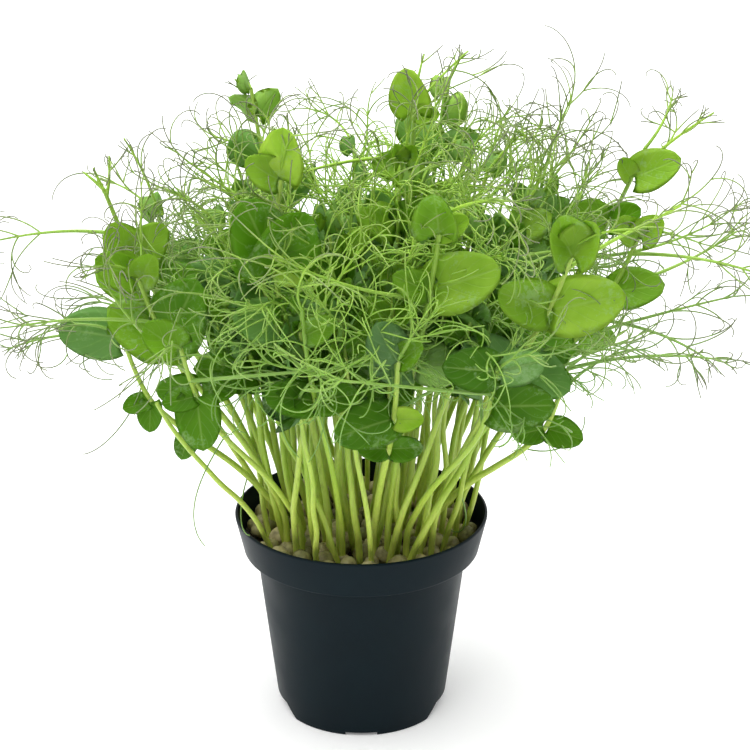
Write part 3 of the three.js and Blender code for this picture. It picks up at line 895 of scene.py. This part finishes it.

# The leaves on the front shoots that show from end to end. For a CAD shoot's number: the height of
# each node, and its blades as (degrees from upright, clockwise from the front; length; tone;
# shape), where a tone below zero turns the underside to the front
# a blade's tone is partly painted shade and light: dark for leaves low or deep in the clump, pale
# for the lit top ones
FRONT_LEAVES = {
    1: [(285, [(3, 25, 1.0, FLAT), (-55, 19, 0.75, HOLLOW)]),
        (246, [(-20, 36, 0.42, FLAT), (23, 35, 0.5, HOLLOW), (98, 18, 0.95, CREASED)]),
        (219, [(-80, 25, -0.55, DROOPING), (88, 24, -0.5, DROOPING)])],
    2: [(188, [(-78, 22, 0.3, FLAT), (74, 20, 0.35, CREASED)]), (224, [(60, 16, 0.6, HOLLOW)])],
    3: [(268, [(-6, 24, 0.62, CUPPED), (58, 15, 0.85, HOLLOW)]),
        (240, [(-62, 18, 0.6, CREASED), (66, 32, 0.78, FLAT)]),
        (200, [(84, 24, -0.7, FOLDED), (-64, 27, -0.15, FLAT)])],
    4: [(256, [(-22, 26, 0.72, CUPPED), (28, 23, 0.8, CUPPED)]),
        (230, [(-66, 27, 0.7, HOLLOW), (74, 33, 0.86, FLAT)]),
        (200, [(-66, 26, -0.35, FOLDED), (116, 27, -0.4, DROOPING)])],
    5: [(246, [(40, 17, 0.85, CUPPED), (-40, 16, 0.75, HOLLOW)]), (220, [(76, 24, 0.62, FLAT)]),
        (196, [(-80, 24, 0.4, FLAT), (80, 18, 0.6, CREASED)])],
    6: [(212, [(70, 20, -0.5, FOLDED), (-80, 24, 0.2, FLAT)]), (190, [(84, 28, 0.25, FLAT)])],
    7: [(160, [(-100, 15, 0.35, FLAT), (104, 18, 0.4, CREASED)]), (190, [(-84, 24, 0.15, FLAT)])],
    8: [(212, [(-26, 23, -0.1, FLAT), (48, 15, 0.6, HOLLOW)]),
        (182, [(-104, 27, 0.3, FLAT), (84, 14, 1.0, CUPPED)]),
        (163, [(-84, 14, 0.35, CREASED), (82, 15, 0.4, CREASED)])],
    9: [(236, [(-60, 22, 0.7, HOLLOW), (30, 18, 0.75, CUPPED)]),
        (204, [(-50, 32, 0.66, CREASED), (24, 36, 0.45, FLAT)]),
        (178, [(-84, 20, 0.35, FLAT), (80, 18, 0.45, HOLLOW)])],
    10: [(188, [(174, 25, 0.4, FLAT), (-100, 15, 0.4, HOLLOW)]), (212, [(-50, 22, 0.6, HOLLOW)])],
    11: [(164, [(184, 15, 0.35, FLAT), (-104, 13, 0.4, HOLLOW)]),
         (146, [(198, 14, 0.25, DROOPING)]),
         (196, [(-74, 30, -0.35, FLAT), (34, 24, 0.5, HOLLOW)])],
    12: [(224, [(-30, 25, 0.85, HOLLOW), (36, 24, 0.75, FLAT)]),
         (210, [(-66, 28, 0.66, FLAT), (60, 24, 0.5, CREASED)])],
    13: [(258, [(62, 24, 0.8, FLAT), (-34, 13, 0.85, HOLLOW)]),
         (236, [(-66, 22, 0.6, CREASED), (60, 18, 0.5, HOLLOW)])],
    14: [(290, [(-12, 24, 1.0, FLAT), (84, 12, 0.9, CUPPED)]), (266, [(-80, 18, 0.7, CREASED)])],
}

# Long stalks at the front and the sides: the CAD shoot's number, the height of the node, the
# direction that the stalk leaves in, its length, and how far it bends
ARCHES = [(10, 196, (0.9, -0.35, 0.22), 86, 0.5), (1, 226, (0.95, -0.25, 0.12), 58, 0.9),
          (6, 196, (-0.9, -0.25, 0.15), 80, 0.6), (13, 258, (0.7, 0.05, 0.75), 50, 0.3),
          (12, 236, (-0.9, 0, 0.15), 62, 0.6), (11, 200, (-0.95, -0.1, 0.2), 54, 0.7),
          (4, 250, (0.8, 0.1, 0.55), 60, 0.5), (5, 222, (0.9, 0.1, 0.15), 66, 0.7),
          (5, 206, (0.9, -0.1, -0.05), 56, 0.6), (12, 256, (-0.45, 0.1, 0.9), 44, 0.5),
          (9, 214, (-0.8, -0.5, 0.3), 60, 0.8), (14, 270, (-0.95, -0.2, 0.1), 74, 0.5),
          (3, 236, (-0.9, -0.3, 0.1), 70, 0.6), (5, 196, (0.95, 0.2, 0.25), 70, 0.5),
          (7, 190, (0.95, -0.1, 0.35), 66, 0.4), (15, 200, (0.95, -0.3, 0), 60, 0.5),
          (13, 220, (0.95, -0.2, 0.1), 60, 0.5), (19, 222, (-0.15, 0, 1), 52, 0.5),
          (5, 238, (1, -0.2, 0.1), 62, 0.4), (13, 236, (1, 0.1, -0.1), 50, 0.5),
          (12, 254, (0.25, 0, 1), 44, 0.6), (15, 232, (0.1, 0, 1), 50, 0.3)]

# Loose tendrils that hang below the leaves: the CAD shoot's number, the height of the node, the
# direction and the length
HANGING = [(10, 164, (-0.5, -0.2, -0.7), 54), (11, 172, (-0.3, -0.1, -1), 44),
           (7, 148, (0.9, -0.1, -0.35), 36), (7, 120, (0.5, -0.3, -1), 36),
           (11, 122, (-0.4, -0.3, -1), 34), (5, 168, (0.5, 0, -0.8), 40)]


def at_height(path, height):
    """The point where a path passes a height in millimetres, or else its tip."""
    for low, high in zip(path, path[1:]):
        if low.z <= height * MM < high.z:
            return low.lerp(high, (height * MM - low.z) / (high.z - low.z))
    return path[-1]


def leaf_pair(rng, leaves, node, along, away, length, spread, tone, shapes, rise=0.6):
    """Two leaves that clasp the stem at a node, either side of the stalk."""
    side = along.cross(away).normalized()
    for hand, shape in zip((-1, 1), shapes):
        axis = along * math.cos(spread) + side * hand * math.sin(spread) + away * 0.25
        facing = away + UP * rise + side * hand * -0.25
        place = node + side * hand * LEAF_FOOT * MM
        leaves.append(leaf_point(axis, facing, place, length * rng.uniform(0.88, 1.05), shape,
                                 tone + rng.uniform(-0.08, 0.08)))


def front_leaves(rng, leaves, path, nodes):
    """The leaves that are placed one by one, facing the front."""
    for height, blades in nodes:
        place = at_height(path, height)
        for angle, length, tone, shape in blades:
            swing = math.radians(angle)
            axis = Vector((math.sin(swing), -0.22, math.cos(swing)))
            facing = Vector((rng.uniform(-0.35, 0.35), -1.0, rng.uniform(0.2, 0.75)))
            foot = place + Vector((math.sin(swing), -1.0, 0)) * LEAF_FOOT * MM
            leaves.append(leaf_point(axis, facing if tone > 0 else -facing, foot, length * MM,
                                     shape, abs(tone)))


def grow_shoot(rng, knots, stems, tendrils, leaves, nodes):
    """One shoot on its centreline: its stem, then its leaves and sprays from the tip down. A shoot
    with nodes has its leaves placed one by one, so it gets no pairs here, and fewer sprays."""
    path = smooth_path(knots, 44)
    count = len(path) - 1
    foot = rng.uniform(1.3, 1.85) * MM
    pale = rng.random()
    stems.put(path, taper(foot, STEM_TIP_RADIUS * MM, count, 1.8), [pale] * (count + 1))
    total = sum((b - a).length for a, b in zip(path, path[1:]))
    centre = Vector((path[-1].x, path[-1].y, 0))
    outward = centre.normalized()
    lean_out = outward * min(1.0, centre.length / (90 * MM))
    turn = rng.choice((-1, 1))
    for node, back in enumerate(NODES_BACK):
        back *= rng.uniform(0.88, 1.12)
        share = 1 - back * MM / total
        place = point_at(path, max(share, 0.0))
        if place.z < LOWEST_NODE * MM:
            break
        along = direction_at(path, min(share, 0.995))
        swing = turn * rng.uniform(0.5, 1.5) * (1 if node % 2 else -1)
        away = Quaternion(UP, swing) @ outward
        away = (away - along * away.dot(along)).normalized()
        # painted shade and light: a leaf's tone is dark low on the shoot and rises with height,
        # with some scatter at random
        light = max(0.0, min(1.0, (place.z / MM - PAINTED_LIGHT_FROM) / PAINTED_LIGHT_SPAN))
        chance, size = rng.random(), rng.uniform(0.85, 1.15)
        if not nodes and chance < LEAF_CHANCES[node]:
            tone = mix(0.12, 0.95, light) + rng.uniform(-0.2, 0.25)
            kinds = (FOLDED, CUPPED) if node == 0 else (rng.randrange(6), rng.randrange(6))
            leaf_pair(rng, leaves, place, along, away, LEAF_LENGTHS[node] * size * MM,
                      LEAF_SPREADS[node], tone, kinds, 0.2 if node == 0 else 0.6)
        heading = along * rng.uniform(0.5, 1.1) + away * rng.uniform(0.5, 1.0)
        heading += lean_out * (0.25 if nodes else 0.6)
        if nodes:
            heading.y = 0.5 * abs(heading.y)
        if node == 0:
            spray(rng, tendrils, place, along + lean_out * 0.5 + away * 0.2,
                  rng.uniform(16, 34) * MM, rng.random())
        elif rng.random() < SPRAY_CHANCES[node] * (0.6 if nodes else 1.0):
            spray(rng, tendrils, place, heading, rng.uniform(24, 52) * MM, rng.random())
    return path


def make_foliage(name, points, columns, rows, shoots):
    """Sets the leaf shapes, made with this many faces across and along, on their points."""
    shapes = [blade_shape(*form, columns, rows) for form in BLADES]
    foliage = scattered(name, shapes, points, LEAF)
    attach(foliage, "root")
    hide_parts(*[f"shoot_{number:02d}_leaves" for number in shoots])


def make_shoots():
    """All the shoots: those that the CAD model has, on its centrelines, and the others."""
    stems, placed, leaves = Paths(), [], []
    sectors = [Paths() for _ in range(4)]
    rng = random.Random(19)
    lines = [cad_centreline(i + 1) for i in range(CAD_SHOOTS)]
    lines += [other_centreline(i, rng) for i in range(OTHER_SHOOTS)]
    paths = []
    for i, knots in enumerate(lines):
        sector = int((math.atan2(knots[-1].y, knots[-1].x) / (2 * math.pi) * 4) % 4)
        nodes = FRONT_LEAVES.get(i + 1, ())
        paths.append(grow_shoot(rng, knots, stems, sectors[sector], leaves, nodes))
        front_leaves(rng, placed, paths[-1], nodes)
    for number, height, heading, length, bend in ARCHES:
        place = at_height(paths[number - 1], height)
        spray(rng, sectors[2], place, Vector(heading), length * MM, 1.0, bend)
    for number, height, heading, length in HANGING:
        strand = curling(rng, at_height(paths[number - 1], height), Vector(heading), length * MM,
                         rng.uniform(0.8, 1.6), 0.9, 0.0, over_table)
        count = len(strand)
        sectors[3].put(strand, taper(0.4 * MM, FINEST * MM, count)[:-1],
                       taper(0.6, 1.0, count)[:-1])
    names = [f"shoot_{i + 1:02d}" for i in range(CAD_SHOOTS)]
    canes = grown("stems", stems.mesh("stem_paths"), TUBES, Ribs=5, Rib_Depth=0.14, Material=STEM)
    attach(canes, "root")
    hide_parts(*[name + "_stem" for name in names])
    make_foliage("front_leaves", placed, 8, 14, sorted(FRONT_LEAVES))
    make_foliage("leaves", leaves, 4, 8,
                 [i + 1 for i in range(CAD_SHOOTS) if i + 1 not in FRONT_LEAVES])
    sides = ("right_back", "left_back", "left_front", "right_front")
    for side, sector in zip(sides, sectors):
        part = grown("tendrils_" + side, sector.mesh("tendril_paths"), TUBES,
                     Ribs=2, Rib_Depth=0.1, Material=TENDRIL)
        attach(part, "root")
        if side == sides[0]:
            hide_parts(*[name + "_tendrils" for name in names])


# ---- Setting ----

def make_setting():
    """A white floor and backdrop, with painted light glowing from the floor, faint by the pot and
    stronger further out; a big soft light overhead; and the camera.
    """
    floor = bpy.data.meshes.new("floor")
    floor.from_pydata([(-6, -6, 0), (6, -6, 0), (6, 6, 0), (-6, 6, 0)], [], [(0, 1, 2, 3)])
    ground = shown("floor", floor)
    material, tree, place = new_material("white paper sweep with painted glow")
    grain = add(tree, "ShaderNodeTexNoise", {"Vector": place, "Scale": spaced(330), "Detail": 1})
    colour = add(tree, "ShaderNodeMix", {
        "Factor": grain, 6: linear("#f6f6f6"), 7: linear("#fafafa")},
        data_type="RGBA")
    # painted light: the floor glows, faintly by the pot and more strongly further out, which fills
    # the shadow on it
    away = add(tree, "ShaderNodeVectorMath", {0: place}, operation="LENGTH")
    lit = add(tree, "ShaderNodeMapRange", {
        "Value": away.outputs["Value"], "From Min": 0.5, "From Max": 2.0,
        "To Min": 0.16, "To Max": 0.8}, interpolation_type="SMOOTHSTEP")
    shader = add(tree, "ShaderNodeBsdfPrincipled", {
        "Base Color": colour, "Roughness": 0.9, "Specular IOR Level": 0.2,
        "Emission Color": (1, 1, 1, 1), "Emission Strength": lit})
    floor.materials.append(with_surface(material, shader))
    scene = bpy.context.scene
    scene.world = bpy.data.worlds.new("studio")
    tent = emptied(scene.world)
    place = add(tent, "ShaderNodeTexCoord").outputs["Generated"]
    depth = add(tent, "ShaderNodeSeparateXYZ", {"Vector": place}).outputs["Y"]
    glow = add(tent, "ShaderNodeMapRange", {
        "Value": depth, "From Min": -0.75, "From Max": 0.1, "To Min": 0.2, "To Max": 0.94},
        interpolation_type="SMOOTHSTEP")
    seen = add(tent, "ShaderNodeLightPath").outputs["Is Camera Ray"]
    strength = add(tent, "ShaderNodeMath", {0: glow, 1: seen}, operation="MAXIMUM")
    air = add(tent, "ShaderNodeBackground", {"Color": (1, 1, 1, 1), "Strength": strength})
    add(tent, "ShaderNodeOutputWorld", {"Surface": air})
    for name, place, size, power in (("overhead", (-0.15, -0.1, 1.9), 2.4, 50.0),
                                     ("front left", (-1.0, -1.7, 1.7), 1.6, 12.0)):
        lamp = bpy.data.lights.new(name, "AREA")
        lamp.shape = "DISK"
        lamp.size = size
        lamp.energy = power
        light = bpy.data.objects.new(name, lamp)
        light.location = place
        aim = Vector((0, 0, 0.2)) - light.location
        light.rotation_euler = aim.to_track_quat("-Z", "Y").to_euler()
        scene.collection.objects.link(light)
    lens = bpy.data.cameras.new("camera")
    lens.lens = 111.2
    lens.sensor_width = 36
    camera = bpy.data.objects.new("camera", lens)
    camera.location = (0.0065, -1.0, 0.568)
    camera.rotation_euler = (math.pi / 2 - 0.380, 0, 0)
    scene.collection.objects.link(camera)
    scene.camera = camera
    scene.view_settings.view_transform = "Standard"


make_pot()
make_peat()
make_peas()
make_shoots()
make_setting()
